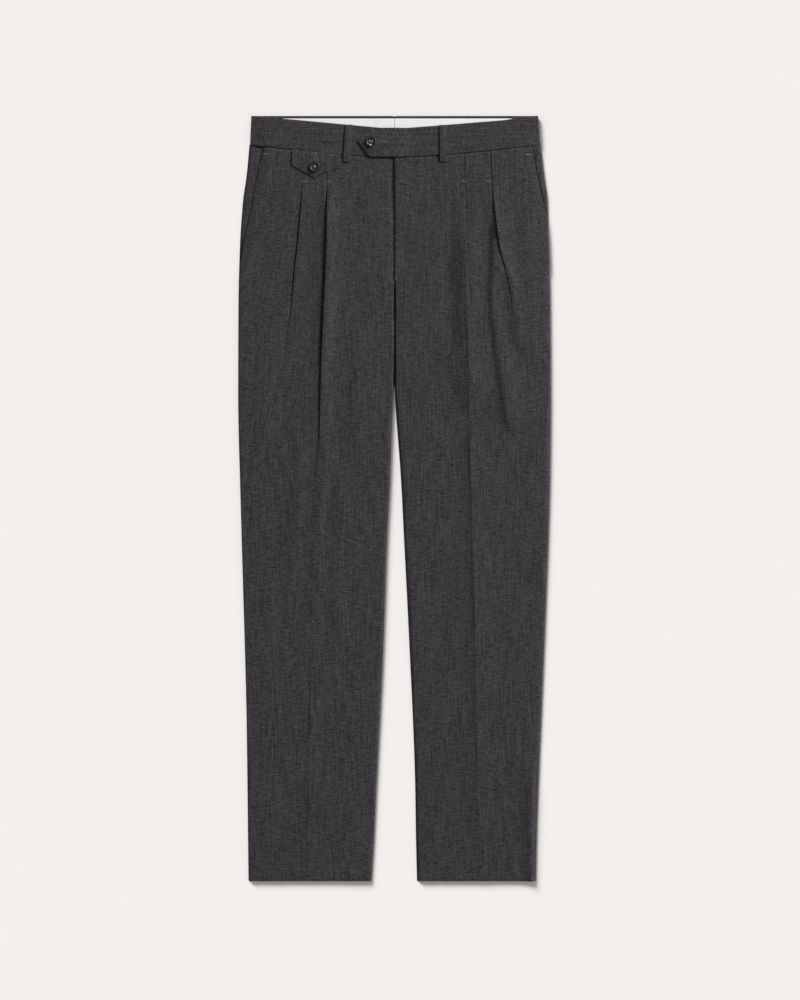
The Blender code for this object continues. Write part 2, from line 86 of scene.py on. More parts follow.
# A pleat from the band down: where its folded edge lies, the cloth between its two folded edges,
# the angle that each edge turns through, the width of the hollow outside it and its depth.
PLEAT = "Pleat", "y fold run turn hollow depth"
PLEATS = {
    "right": (
        table(
            *PLEAT, (499, 128.3, 11.0, 180, 5.0, 1.6), (449, 129.3, 11.0, 180, 5.0, 1.6),
            (425, 130.8, 10.5, 180, 4.5, 2.4), (378, 134.2, 9.0, 180, 4.5, 3.0),
            (322, 140.4, 6.0, 180, 5.0, 2.8), (290, 143.2, 3.0, 180, 6.0, 1.9),
            (262, 146.2, 0.8, 120, 9.0, 1.0), (225, 151.0, 0.6, 40, 14.0, 0.6),
            (180, 156.0, 0.6, 0, 16.0, 0.0), (-539, 162.0, 0.6, 0, 14.0, 0.0),
        ),
        table(
            *PLEAT, (499, 93.3, 11.0, 180, 5.0, 1.6), (449, 94.2, 11.0, 180, 5.0, 1.6),
            (430, 94.5, 11.0, 180, 4.5, 2.4), (375, 95.4, 10.0, 180, 4.5, 2.9),
            (322, 96.9, 8.5, 180, 5.0, 3.0), (266, 99.6, 7.0, 180, 6.0, 3.0),
            (209, 102.0, 5.5, 180, 6.5, 2.7), (150, 103.8, 3.0, 180, 7.0, 2.0),
            (110, 104.8, 1.0, 150, 8.0, 1.2), (80, 106.5, 0.6, 40, 10.0, 0.4),
            (40, 109.0, 0.6, 20, 10.0, 0.2), (-60, 112.6, 0.6, 0, 12.0, 0.0),
            (-185, 115.6, 0.6, 0, 10.0, 0.0), (-539, 121.5, 0.6, 0, 10.0, 0.0),
        ),
    ),
    "left": (
        table(
            *PLEAT, (499, 133.2, 11.0, 180, 5.0, 1.6), (449, 135.6, 11.0, 180, 5.0, 1.7),
            (425, 138.0, 10.5, 180, 3.5, 2.5), (378, 143.0, 9.0, 180, 3.5, 3.2),
            (350, 147.0, 6.0, 180, 4.5, 2.6), (322, 154.5, 1.5, 150, 8.0, 1.9),
            (294, 160.5, 0.6, 80, 10.0, 1.4), (266, 165.0, 0.6, 45, 11.0, 1.0),
            (225, 169.0, 0.6, 15, 12.0, 0.4), (180, 172.0, 0.6, 0, 12.0, 0.0),
            (-539, 158.0, 0.6, 0, 12.0, 0.0),
        ),
        table(
            *PLEAT, (499, 97.5, 11.0, 180, 5.0, 1.2), (449, 98.7, 11.0, 180, 5.0, 1.3),
            (400, 99.8, 9.0, 180, 4.0, 2.0), (350, 102.3, 5.0, 180, 4.0, 2.2),
            (310, 103.5, 1.0, 150, 7.0, 1.3), (260, 104.0, 0.6, 50, 8.0, 0.4),
            (200, 104.2, 0.6, 0, 8.0, 0.0), (-26, 108.0, 0.6, 0, 8.0, 0.0),
            (-256, 115.0, 0.6, 0, 8.0, 0.0), (-539, 116.0, 0.6, 0, 8.0, 0.0),
        ),
    ),
}

# How far the cloth stands up along each of those folds, as a share of the pleat's depth, the
# width that it stands up over, and how far the cloth outside the fold rises to meet it.
Swell = namedtuple("Swell", "share width outside")
SWELLS = {"right": (Swell(0.5, 14.0, 0.0), Swell(1.7, 14.0, 0.6)),
          "left": (Swell(0.1, 11.0, 1.0), Swell(0.8, 14.0, 0.0))}

# Soft folds, as ridges where the height is positive and troughs where it is negative. x runs in
# the frame's own direction, and each side of a fold has its own width.
FOLD = "Fold", "top_y top_x low_y low_x width_low_x width_high_x height"


def fold_lift(fold, x, y, sharp):
    """A fold's height at a place. A sharp one is pressed to an edge along its top."""
    along = (fold.top_y - y) / (fold.top_y - fold.low_y)
    if not 0.0 < along < 1.0:
        return 0.0
    off = x - (fold.top_x + (fold.low_x - fold.top_x) * along)
    off = abs(off) / (fold.width_high_x if off > 0 else fold.width_low_x)
    ends = min(2.5 * math.sin(math.pi * along), 1.0)
    return fold.height * ends * math.exp(-off if sharp else -off * off)


RELIEF_SCALE = 1.3         # brings the heights of the soft folds below to the cloth's own
SOFT_FOLDS = table(
    *FOLD,
    # the right leg's opened pleats, running out towards the knee
    (250, -46, 40, -60, 9, 22, 1.0), (190, -92, -10, -102, 12, 8, 0.9),
    (150, -126, -20, -138, 14, 10, 0.6), (20, -104, -190, -108, 9, 7, 0.6),
    (60, -78, -230, -84, 7, 14, 0.6), (90, -134, -150, -150, 10, 16, 0.7),
    (240, -176, 60, -186, 12, 14, 0.7), (190, -20, 40, -34, 12, 10, 0.4),
    # the left leg's two folds that fork from the outer pleat, and the one beside its crease
    (400, 143, 265, 138, 6, 22, 3.0), (285, 136, 90, 162.5, 6.5, 22, 2.9),
    (330, 157, 205, 175, 7, 18, 1.9), (390, 98, 120, 106, 18, 34, 2.4),
    (430, 78, 200, 80, 10, 10, -0.6), (420, 186, 180, 196, 14, 11, 1.2),
    (440, 150, 230, 176, 8, 13, 0.5), (150, 40, -60, 46, 16, 16, 0.4),
    # low unevenness near the hems
    (-370, 193, -570, 198, 12, 5, 2.2), (-420, -60, -550, -58, 16, 12, 0.4),
    (-300, -176, -470, -178, 12, 12, 0.35), (-330, 62, -500, 60, 16, 14, 0.35),
    (-120, 160, -330, 164, 14, 14, 0.35), (-100, -176, -260, -180, 12, 12, 0.4),
)

# The creases pressed down each leg's front, where the cloth turns to an edge.
PRESSED = table(
    *FOLD,
    (-60, -114.6, -340, -118.2, 3.0, 12, 0.5), (-230, -116.4, -545, -122.6, 2.5, 12, 0.7),
    (400, 100.3, -20, 107.8, 2.5, 16, 0.7), (330, 102.3, -545, 119.5, 12, 30, 1.4),
    (110, 104.6, -220, 114.8, 2.2, 12, 0.8), (-120, 111.8, -440, 118.0, 2.2, 12, 0.6),
)


def at(rows, y, column):
    """A column's value at y, on a smooth curve through rows that run from high y to low y."""
    if y >= rows[0].y:
        return getattr(rows[0], column)
    if y <= rows[-1].y:
        return getattr(rows[-1], column)
    index = max(i for i in range(len(rows) - 1) if rows[i].y >= y)
    high, low = rows[index], rows[index + 1]

    def slope(a, b):
        return (getattr(b, column) - getattr(a, column)) / (b.y - a.y)

    inner = slope(high, low)
    before = slope(rows[index - 1], high) if index > 0 else inner
    after = slope(low, rows[index + 2]) if index + 2 < len(rows) else inner
    start = 0.0 if before * inner <= 0 else 2 * before * inner / (before + inner)
    end = 0.0 if after * inner <= 0 else 2 * after * inner / (after + inner)
    span = low.y - high.y
    s = (y - high.y) / span
    return (
        getattr(high, column) * (2 * s ** 3 - 3 * s ** 2 + 1)
        + getattr(low, column) * (3 * s ** 2 - 2 * s ** 3)
        + start * span * (s ** 3 - 2 * s ** 2 + s)
        + end * span * (s ** 3 - s ** 2)
    )


def ease(value, low, high):
    """0 at low, 1 at high, a smooth rise between them, and level beyond them."""
    s = min(max((value - low) / (high - low), 0.0), 1.0)
    return s * s * (3 - 2 * s)


def outline_of(node):
    """A flat CAD panel's inner and outer edges: how far out each lies at some heights, in mm."""
    EdgeRow = namedtuple("EdgeRow", "y out")
    rows = {}
    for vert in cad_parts[node].data.vertices:
        spot = vert.co * 1000
        rows.setdefault(math.floor(spot.y + 0.25), []).append((abs(spot.x), spot.y))
    rows = [rows[y] for y in sorted(rows, reverse=True)]
    inner = [EdgeRow(y, out) for out, y in map(min, rows) if out < 60.0]
    outer = [EdgeRow(y, out) for out, y in map(max, rows)]
    return inner, outer


INSEAM, OUTSEAM = {}, {}
for leg in ("right", "left"):
    INSEAM[leg], OUTSEAM[leg] = outline_of("back_" + leg)
SIDE = {"right": -1, "left": 1}


def band_seam(x):
    """The lower seam of the front waistband, which dips at the fly."""
    return 480.4 + 18.6 * (abs(x) / 206.0) ** 1.5


def seam_rise(y, x):
    """How far a front panel's rows lift at x to follow the band's seam."""
    return (band_seam(x) - PANEL_TOP) * ease(y, 415.0, PANEL_TOP)


def relief(leg, x, y):
    """How far the soft folds and the cloth's own unevenness lift the surface."""
    lift = 0.0
    for pleat, swell in zip(PLEATS[leg], SWELLS[leg]):
        inwards = at(pleat, y, "fold") - abs(x)
        share = swell.share if inwards > -2 * FOLD_RADIUS else swell.outside
        stands = share * at(pleat, y, "depth") * ease(SEWN_LOW - y, 0.0, 45.0)
        lift += stands * math.exp(-(inwards / swell.width) ** 2)
    for fold in SOFT_FOLDS:
        lift += RELIEF_SCALE * fold_lift(fold, x, y, sharp=False)
    for fold in PRESSED:
        lift += fold_lift(fold, x, y, sharp=True)
    lift += 0.4 * noise.noise(Vector((x / 34.0, y / 120.0, 3.1)))
    lift += 0.14 * noise.noise(Vector((x / 11.0, y / 45.0, 8.7)))
    fly_lap = ease(abs(x), 30.0, 4.0) if leg == "left" else 0.0
    return lift + 1.3 * fly_lap * ease(y, 380.0, 470.0)


def pleat_points(pleat, y, crest):
    """Points (inwards, height) through a pleat from its outer side, its folded edge at 0."""
    turn, run = math.radians(at(pleat, y, "turn")), at(pleat, y, "run")
    hollow, depth = at(pleat, y, "hollow"), at(pleat, y, "depth")
    steps = 6
    under_radius = max(FOLD_RADIUS, depth / 2 - FOLD_RADIUS)
    inwards, height, heading = 0.0, 0.0, 0.0
    points = [(inwards, height)]
    for direction, radius in ((1, under_radius), (-1, FOLD_RADIUS)):
        arc = math.pi * radius / steps
        bend = turn / steps
        chord = arc if bend < 0.01 else 2 * arc / bend * math.sin(bend / 2)
        for _ in range(steps):
            inwards += chord * math.cos(heading + direction * bend / 2)
            height += chord * math.sin(heading + direction * bend / 2)
            heading += direction * bend
            points.append((inwards, height))
        if direction == 1:
            inwards += run * math.cos(heading)
            height += run * math.sin(heading)
            points.append((inwards, height))
            edge = inwards
    squeeze = min(1.0, depth / max(height, 0.01))
    folded = [(along - edge + FOLD_RADIUS, crest + (up - height) * squeeze)
              for along, up in points]
    start, low = folded[0]
    foot = min(0.0, start - 0.8) - 1.0 * ease(depth, 1.7, 3.0)
    steepness = 1.5 + 90.0 / hollow ** 2
    approach = []
    for step in range(9):
        share = step / 8
        fall = (crest - low) * share ** steepness
        approach.append((-hollow + (foot + hollow) * share, crest - fall))
    return approach + folded


def seam_edge(out, width, low, crest):
    """15 points from a seam up the panel's rolled edge; out, where the seam lies, is not used."""
    turns = [math.pi / 2 * step / 14 for step in range(15)]
    half = WOOL_WALL / 2
    return [(half + width * (1 - math.cos(turn)), low + (crest - low) * math.sin(turn))
            for turn in turns]


def folded_edge(level, rise, crest):
    """15 points round a folded edge: the cloth turned under, the fold, then the way up."""
    under = [(9.0, level - 2 * FOLD_RADIUS), (4.5, level - 2 * FOLD_RADIUS)]
    turns = [math.radians(-90 + 30 * step) for step in range(7)]
    fold = [(FOLD_RADIUS * (1 - math.cos(turn)), level - FOLD_RADIUS + FOLD_RADIUS * math.sin(turn))
            for turn in turns]
    up = []
    for step in range(1, 7):
        share = step / 6
        up.append((FOLD_RADIUS + rise * share,
                   level + (crest - level) * math.sin(math.pi / 2 * share)))
    return under + fold + up


def blended(first, second, share):
    return [(a[0] + (b[0] - a[0]) * share, a[1] + (b[1] - a[1]) * share)
            for a, b in zip(first, second)]


def spread(start, end, count, crest):
    """Points strictly between two places, level with the crest."""
    return [(start + (end - start) * step / (count + 1), crest) for step in range(1, count + 1)]


# The fronts' centre seam below the fly and the inseams: how far the two fronts part, the width
# over which each falls to the seam, and its height there.
FRONT_SEAM = table(
    "Seam", "y parted width low", (306, 0.0, 2.0, 3.2), (288, 0.8, 1.6, 1.0),
    (262, 1.0, 1.6, 1.0), (238, 0.2, 3.0, 2.0), (215, 0.3, 2.6, 1.6), (190, 1.0, 1.6, 1.0),
    (164, 1.6, 1.7, 1.0), (150, 0.2, 3.0, 1.0), (120, 0.0, 5.0, 1.0),
)


def front_section(leg, y):
    """Points (out, height) across a front panel at y, from its side seam to its inner edge."""
    crest = at(CREST, y, "height")
    outer = at(OUTSEAM[leg], y, "out")
    points = []
    rolled = seam_edge(outer, SIDE_ROLL[leg], FLOOR_OF_FRONT, crest)
    in_pocket = ease(y, POCKET_LOW - 4, POCKET_LOW + 6)
    if in_pocket > 0:
        mouth = folded_edge(MOUTH_LEVEL + 0.9 * ease(y, 462.0, PANEL_TOP), EDGE_RISE, crest)
        rolled = blended(rolled, mouth, in_pocket)
        risen = y + seam_rise(y, 190.0)
        outer += (at(POCKET_MOUTH, risen, leg) - outer) * in_pocket
    points += [(outer - inwards, height) for inwards, height in rolled]
    for pleat, gap_columns in zip(PLEATS[leg], (14, 18)):
        fold = at(pleat, y, "fold")
        through = [(fold - inwards, height) for inwards, height in pleat_points(pleat, y, crest)]
        points += spread(points[-1][0], through[0][0], gap_columns, crest) + through
    inner = at(INSEAM[leg], y, "out") + at(FRONT_SEAM, y, "parted")
    seam = seam_edge(inner, at(FRONT_SEAM, y, "width"), at(FRONT_SEAM, y, "low"), crest)
    on_fly = ease(y, FLY_LOW, FLY_FULL)
    if on_fly > 0 and leg == "left":
        seam = blended(seam, folded_edge(FLY_LEVEL, EDGE_RISE, crest), on_fly)
        inner += (FLY_EDGE - inner) * on_fly
    elif on_fly > 0:
        lap = []
        for step in range(15):
            inwards = 22.0 * step / 14
            up = UNDERLAP_LEVEL + (crest - UNDERLAP_LEVEL) * ease(inwards, 6.5, 18.0)
            lap.append((inwards, up))
        seam = blended(seam, lap, on_fly)
        inner += (UNDERLAP_EDGE - inner) * on_fly
    edge = [(inner + inwards, height) for inwards, height in reversed(seam)]
    return points + spread(points[-1][0], edge[0][0], 26, crest) + edge


def mesh_of(name, made):
    """A mesh from a finished bmesh."""
    mesh = bpy.data.meshes.new(name)
    made.to_mesh(mesh)
    made.free()
    return mesh


def placed(name, data):
    """An object in the scene for a mesh, a lamp or the camera."""
    thing = bpy.data.objects.new(name, data)
    bpy.context.scene.collection.objects.link(thing)
    return thing


def cloth_sheet(name, columns, rows, place, wall, edge_round=0.0):
    """A cloth piece: a grid moved to place(column, row) = (x, y, z, across, along), then walled.

    across and along are the point's place on the flat cloth. They go into the UV map that the
    weave follows, in metres. With edge_round, the wall thins out over that width into a round.
    """
    grid = bmesh.new()
    bmesh.ops.create_grid(grid, x_segments=columns, y_segments=rows, size=1.0)
    grain = grid.loops.layers.uv.new("grain")
    thinning = grid.verts.layers.deform.new()
    cells = {(round((vert.co.x + 1) / 2 * columns), round((vert.co.y + 1) / 2 * rows)): vert
             for vert in grid.verts}
    flat = {}
    for (column, row), vert in cells.items():
        x, y, z, across, along = place(column, row)
        vert.co = Vector((x, y, z)) * 0.001
        flat[vert] = (across * 0.001, along * 0.001)
    for (column, row), vert in cells.items():
        rims = ((0, row), (columns, row), (column, 0), (column, rows))
        nearest = min((vert.co - cells[rim_painted_highlight].co).length for rim_painted_highlight in rims) * 1000
        inside = min(nearest / edge_round, 1.0) if edge_round else 1.0
        vert[thinning][0] = max(math.sqrt(1 - (1 - inside) ** 2), 0.08)
    for face in grid.faces:
        for loop in face.loops:
            loop[grain].uv = flat[loop.vert]
        face.smooth = True
        face.normal_update()
    if sum(face.normal.z * face.calc_area() for face in grid.faces) < 0:
        bmesh.ops.reverse_faces(grid, faces=grid.faces)
    piece = placed(name, mesh_of(name, grid))
    thicken = piece.modifiers.new("wall", "SOLIDIFY")
    thicken.thickness = wall * 0.001
    thicken.offset = 0.0
    if edge_round:
        thicken.vertex_group = piece.vertex_groups.new(name="thinning").name
    return piece


YARN = 0.66                # the width of a yarn, in mm


class Socket:
    """One output in a finish's nodes, on which sums can be written as on a number."""

    def __init__(self, finish, output):
        self.finish = finish
        self.output = output

    def maths(self, operation, first, second):
        return self.finish.node("ShaderNodeMath", {0: first, 1: second}, operation=operation)

    def __add__(self, other):
        return self.maths("ADD", self, other)

    def __radd__(self, other):
        return self.maths("ADD", other, self)

    def __sub__(self, other):
        return self.maths("SUBTRACT", self, other)

    def __rsub__(self, other):
        return self.maths("SUBTRACT", other, self)

    def __mul__(self, other):
        return self.maths("MULTIPLY", self, other)

    def __rmul__(self, other):
        return self.maths("MULTIPLY", other, self)

    def __truediv__(self, other):
        return self.maths("DIVIDE", self, other)


class Finish:
    """A material whose shader is the Principled one, and the nodes that feed it."""

    def __init__(self, name, **constants):
        self.material = bpy.data.materials.new(name)
        self.material.use_nodes = True
        self.tree = self.material.node_tree
        self.shader = self.tree.nodes["Principled BSDF"]
        for socket, value in constants.items():
            self.shader.inputs[socket.replace("_", " ")].default_value = value

    def node(self, kind, sockets, output=0, stops=(), **settings):
        made = self.tree.nodes.new(kind)
        for setting, value in settings.items():
            setattr(made, setting, value)
        if stops:
            ramp = made.color_ramp.elements
            while len(ramp) < len(stops):
                ramp.new(0.5)
            for element, (place, colour) in zip(ramp, stops):
                element.position = place
                element.color = (*colour, 1.0)
        for socket, value in sockets.items():
            self.feed(made.inputs[socket], value)
        return Socket(self, made.outputs[output])

    def feed(self, socket, value):
        if isinstance(value, Socket):
            self.tree.links.new(value.output, socket)
        else:
            socket.default_value = value

    def mixed(self, share, first, second, blend="MIX"):
        """Two colours mixed; a colour may be a link or three numbers."""
        first, second = [c if isinstance(c, Socket) else (*c, 1.0) for c in (first, second)]
        return self.node("ShaderNodeMix", {0: share, 6: first, 7: second}, output=2,
                         data_type="RGBA", blend_type=blend)

    def grey(self, value):
        """A grey of a varying value, as a colour."""
        return self.node("ShaderNodeCombineColor", {0: value, 1: value, 2: value})

    def grain(self):
        """A place on the flat cloth, in millimetres across and along the grain."""
        spot = self.node("ShaderNodeUVMap", {}, uv_map="grain")
        return [self.node("ShaderNodeSeparateXYZ", {0: spot}, output=axis) * 1000.0
                for axis in (0, 1)]

    def bump(self, height, strength, distance):
        return self.node("ShaderNodeBump",
                         {"Strength": strength, "Distance": distance, "Height": height})

    def sine(self, value):
        return self.node("ShaderNodeMath", {0: value}, operation="SINE")

    def whole(self, value):
        """A varying value rounded down."""
        return self.node("ShaderNodeMath", {0: value}, operation="FLOOR")

    def lengths(self, across, along):
        """A random value for each short length of each yarn, from -0.5 to 0.5."""
        yarn = self.whole(across / YARN)
        part = self.whole(along / (4 * YARN) + yarn * 0.618)
        spot = self.node("ShaderNodeCombineXYZ", {0: yarn, 1: part})
        return self.node("ShaderNodeTexWhiteNoise", {"Vector": spot}, noise_dimensions="2D") - 0.5

    def noise(self, x, y, detail=2.0, roughness=0.5):
        spot = self.node("ShaderNodeCombineXYZ", {0: x, 1: y, 2: 0.0})
        return self.node("ShaderNodeTexNoise",
                         {"Vector": spot, "Scale": 1.0, "Detail": detail, "Roughness": roughness},
                         noise_dimensions="2D")

    def surface(self, **varying):
        for socket, value in varying.items():
            self.feed(self.shader.inputs[socket.replace("_", " ")], value)
        return self.material


def worsted():
    """Charcoal worsted: bluish and purplish grey yarns, streaked along the warp and slubbed
    across it, on a fine plain weave with a little nap."""
    wool = Finish("worsted_wool", Metallic=0.0, Sheen_Weight=0.06, Sheen_Roughness=0.5,
                  Specular_IOR_Level=0.2)
    across, along = wool.grain()
    slant = across * 0.3
    warp = wool.noise(across, along / 45.0 + slant) - 0.5
    weft = wool.noise(across / 13.0 + along * 0.3, along + 17.0) - 0.5
    flecks = wool.lengths(across, along) + wool.lengths(along + 300.0, across)
    long_warp = wool.noise(across / 5.0 + 40.0, along / 110.0 + slant * 0.2) - 0.5
    hue = wool.noise(across / 7.0 + 70.0, along / 12.0, detail=4.0, roughness=0.7)
    shade = 1.0 + warp * 1.9 + weft * 1.9 + flecks * 0.75 + long_warp * 0.3
    shade = wool.node("ShaderNodeMath", {0: shade, 1: 0.12}, operation="MAXIMUM")
    tint = wool.node("ShaderNodeValToRGB", {0: hue},
                     stops=((0.36, (0.0294, 0.0306, 0.0335)), (0.60, (0.0350, 0.0301, 0.0350))))
    colour = wool.mixed(1.0, tint, wool.grey(shade), "MULTIPLY")
    pitch = 2 * math.pi / YARN
    weave = wool.sine(across * pitch) * wool.sine(along * pitch) * 0.5 + flecks * 0.3
    return wool.surface(Base_Color=colour, Roughness=0.88 + flecks * 0.1,
                        Normal=wool.bump(weave, 0.3, 0.00016))


WORSTED = worsted()


def cut_piece(node, columns, rows, place, wall, edge_round=0.0,
              cloth=WORSTED):
    """A piece of cloth in the place of its CAD solid."""
    piece = cloth_sheet(node + "_cloth", columns, rows, place, wall, edge_round)
    piece.data.materials.append(cloth)
    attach(piece, "root")
    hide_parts(node)


def front_panel(leg):
    side = SIDE[leg]
    PanelRow = namedtuple("PanelRow", "y past_seam hem_turn hem_depth")
    rows = [PanelRow(PANEL_TOP, past, 0.0, 0.0) for past in (4.0, 2.4, 1.4, 0.8, 0.3)]
    y = PANEL_TOP
    while y > HEM_Y + FOLD_RADIUS + 1.0:
        rows.append(PanelRow(y, 0.0, 0.0, 0.0))
        y -= 0.8 if y > 475 else (2.2 if y > 440 else (5.0 if y > 60 else 8.0))
    hem_line = HEM_Y + FOLD_RADIUS
    for step in range(7):
        turn = math.pi * step / 6
        rows.append(PanelRow(hem_line, 0.0, turn, 0.0))
    for depth in (4.0, 9.0, 18.0, HEM_RETURN):
        rows.append(PanelRow(hem_line, 0.0, math.pi, depth))
    sections = {}
    grid = []
    for row in rows:
        if row.y not in sections:
            section = front_section(leg, row.y)
            lifted = []
            inner, outer = section[-1][0], section[0][0]
            for out, height in section:
                from_edge = min(ease(outer - out, 0.0, 9.0), ease(out - inner, 0.0, 12.0))
                if leg == "left" and out < 60.0:
                    from_edge += (1 - from_edge) * ease(row.y, 300.0, 340.0)
                lifted.append((out, height + relief(leg, side * out, row.y) * from_edge))
            across = [0.0]
            for a, b in zip(lifted, lifted[1:]):
                across.append(across[-1] + math.dist(a, b))
            steady = len(lifted) - 28        # in the plain field, from which the grain runs
            shift = across[steady] + lifted[steady][0]
            sections[row.y] = (lifted, [shift - place for place in across])
        lifted, across = sections[row.y]
        line = []
        for index, (out, height) in enumerate(lifted):
            behind = lifted[max(index - 1, 0)]
            ahead = lifted[min(index + 1, len(lifted) - 1)]
            slope = Vector((behind[0] - ahead[0], behind[1] - ahead[1])).normalized()
            inside = FOLD_RADIUS * (1 - math.cos(row.hem_turn))
            place_out = out + slope.y * inside
            place_up = height - slope.x * inside
            y = row.y + seam_rise(row.y, out) + row.past_seam
            y -= FOLD_RADIUS * math.sin(row.hem_turn)
            y += row.hem_depth
            tuck = 1.5 * ease(row.y + row.past_seam, 476.5, 480.6)
            tuck += 1.2 * ease(row.past_seam, 0.0, 1.5) * ease(out, 40.0, 0.0) * (leg == "left")
            corner = max(0.0, 3.0 - min(out - lifted[-1][0], lifted[0][0] - out))
            if row.y <= HEM_Y + 8.0:
                y += 0.25 * corner * corner * (1 - (row.y - HEM_Y) / 8.0)
            y = min(y, BACK_BAND_LOW + 20.0 * ease(182.0 - out, 0.0, 8.0))
            line.append((side * place_out, y, place_up - tuck, side * across[index],
                         row.y - row.hem_depth))
        grid.append(line)

    def place(column, row):
        return grid[row][column]

    cut_piece("front_" + leg, len(grid[0]) - 1, len(grid) - 1, place, WOOL_WALL)


for leg in ("right", "left"):
    front_panel(leg)


# -------------------------------------------------------------------------------- back panels
# Two pieces of the same worsted, seamed to the fronts along the outside and inside legs and to
# each other at the seat. They lie flat under the fronts, lifting a little along soft creases.

BACK_LEVEL = WOOL_WALL / 2
BACK_TOP_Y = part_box("back_left")[1].y * 1000
BACK_CREASES = table(
    *FOLD,
    (150, 106, -330, 116, 12, 12, 0.8), (-200, 114, -538, 117, 10, 10, 0.7),
    (120, -108, -300, -116, 12, 12, 0.7), (-180, -115, -538, -121, 11, 11, 0.75),
    (400, 60, 200, 12, 14, 18, 0.7), (380, -70, 205, -14, 18, 13, 0.65),
    (300, 150, 120, 96, 15, 15, 0.5), (330, -160, 100, -100, 16, 14, 0.55),
    (480, 110, 360, 104, 8, 8, 0.6), (482, -112, 370, -106, 8, 8, 0.55),
    (-20, 60, -120, 180, 16, 12, 0.4), (-60, -50, -150, -170, 12, 16, 0.45),
    (-330, 170, -480, 60, 14, 14, 0.35), (-360, -70, -470, -170, 14, 14, 0.4),
)


def back_relief(x, y):
    lift = 0.18 + 0.3 * noise.noise(Vector((x / 40.0, y / 110.0, 21.0)))
    for fold in BACK_CREASES:
        lift += fold_lift(fold, x, y, sharp=False)
    return max(lift, 0.0)


def back_panel(leg):
    rows = [(BACK_TOP_Y - step * 8.0, 0.0, 0.0) for step in range(int((BACK_TOP_Y - HEM_Y) / 8.0))]
    hem_line = HEM_Y + FOLD_RADIUS
    rows += [(hem_line, math.pi * step / 6, 0.0) for step in range(7)]
    rows += [(hem_line, math.pi, depth) for depth in (5.0, 12.0, 20.0, HEM_RETURN)]
    curl = [(0.35, 0.45), (0.41, 0.225), (0.575, 0.06), (0.8, 0.0), (2.5, 0.0)]
    middle = 48
    columns = 2 * len(curl) + middle - 1

    def place(column, row):
        y, turn, depth = rows[row]
        inner, outer = at(INSEAM[leg], y, "out"), at(OUTSEAM[leg], y, "out")
        inner *= 1 - ease(y, SEAT_LOW - 2.0, SEAT_LOW + 4.0)
        if column < len(curl):
            inwards, rise = curl[column]
            out = inner + inwards
        elif column > columns - len(curl):
            inwards, rise = curl[columns - column]
            out = outer - inwards
        else:
            share = (column - len(curl) + 1) / (middle + 1)
            out, rise = inner + 2.5 + (outer - inner - 5.0) * share, 0.0
        from_edge = ease(min(out - inner, outer - out), 1.0, 14.0) * ease(y, hem_line, hem_line + 9)
        up = BACK_LEVEL + rise + back_relief(SIDE[leg] * out, y) * from_edge
        up += FOLD_RADIUS * (1 - math.cos(turn))
        return (SIDE[leg] * out, y - FOLD_RADIUS * math.sin(turn) + depth, up, SIDE[leg] * out,
                y - depth)

    cut_piece("back_" + leg, columns, len(rows) - 1, place, WOOL_WALL)


# ------------------------------------------------------------------------------ pocket facings
# A strip of the same worsted sewn inside each slanted pocket. It shows between the pocket's
# folded mouth and the side seam.

FACING_LEVEL = 2.1
FACING_RISE = {"right": 0.8, "left": 1.5}    # how far a facing stands up beside the pocket mouth
FACING_LOW_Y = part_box("pocket_facing_left")[0].y * 1000


def pocket_facing(leg):
    rows, inside_columns = 42, 26
    rolled = [(0.35 + 5.0 * (1 - math.cos(turn)), math.sin(turn))
              for turn in [math.pi / 2 * step / 7 for step in range(8)]]
    columns = inside_columns + len(rolled) - 1

    def place(column, row):
        y = BACK_TOP_Y + (FACING_LOW_Y - BACK_TOP_Y) * row / rows
        outer, mouth = at(OUTSEAM[leg], y, "out"), at(POCKET_MOUTH, y, leg)
        inner = mouth - 10.0
        if column > columns - len(rolled):
            inwards, rise = rolled[columns - column]
            out = outer - min(inwards, outer - inner - 1.0)
        else:
            out = inner + (outer - rolled[-1][0] - inner) * column / inside_columns
            rise = 1.0
        stands = FACING_RISE[leg] * ease(out - mouth, 0.4, 1.8) * ease(outer - mouth, 3.0, 8.0)
        at_band = ease(y, 476.0, 489.0) * (1 - ease(y, 497.0, 499.0))
        level = FACING_LEVEL + max(stands, at_band)
        lift = 0.25 * noise.noise(Vector((out / 14.0, y / 40.0, 31.0))) * rise
        up = FLOOR_OF_FRONT + (level - FLOOR_OF_FRONT) * rise + lift
        return SIDE[leg] * out, y, up, SIDE[leg] * out, y

    cut_piece("pocket_facing_" + leg, columns, rows, place, WOOL_WALL)


for leg in ("right", "left"):
    back_panel(leg)
    pocket_facing(leg)


# ----------------------------------------------------------------------------------- waistband
# Worsted over a firm canvas, cut along the cloth, so its grain runs round the waist. The back
# halves lie face down with their pale lining up. The front halves lie over them, dipping at the
# fly, and the left one runs on into a pointed tab that crosses the right one.

BAND_WALL, BAND_EDGE_ROUND = 1.5, 0.65
BACK_BAND_LEVEL, LINING_LEVEL, BAND_LEVEL, TAB_LEVEL, BAND_SIDE_LEVEL = 2.1, 3.55, 5.2, 7.4, 3.95
WAIST_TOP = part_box("waistband_back_left")[1].y * 1000 + 0.4
LINING_LOW, LINING_HIGH = [corner.y * 1000 - 0.2 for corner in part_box("waistband_lining_left")]
LINING_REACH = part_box("waistband_lining_left")[1].x * 1000
TAB_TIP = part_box("waistband_front_left")[0].x * 1000
TAB_SHOULDER = -35.0
TAB_MIDDLE = 502.7         # the height of the tab's point, between its two edges
FLY_TOP = 521.4            # the front bands' top edge at the fly
BAND_REACH = 203.0         # how far out the bands run, before their slanting ends
SLANT_START = 150.0        # how far out the slanting of the ends begins
RIGHT_SLANT, LEFT_SLANT = (201.6, 203.4), (202.2, 205.2)   # each side at the top and the bottom
BAND_HEIGHT = 40.0         # the bands' rows are spaced over this, then fitted
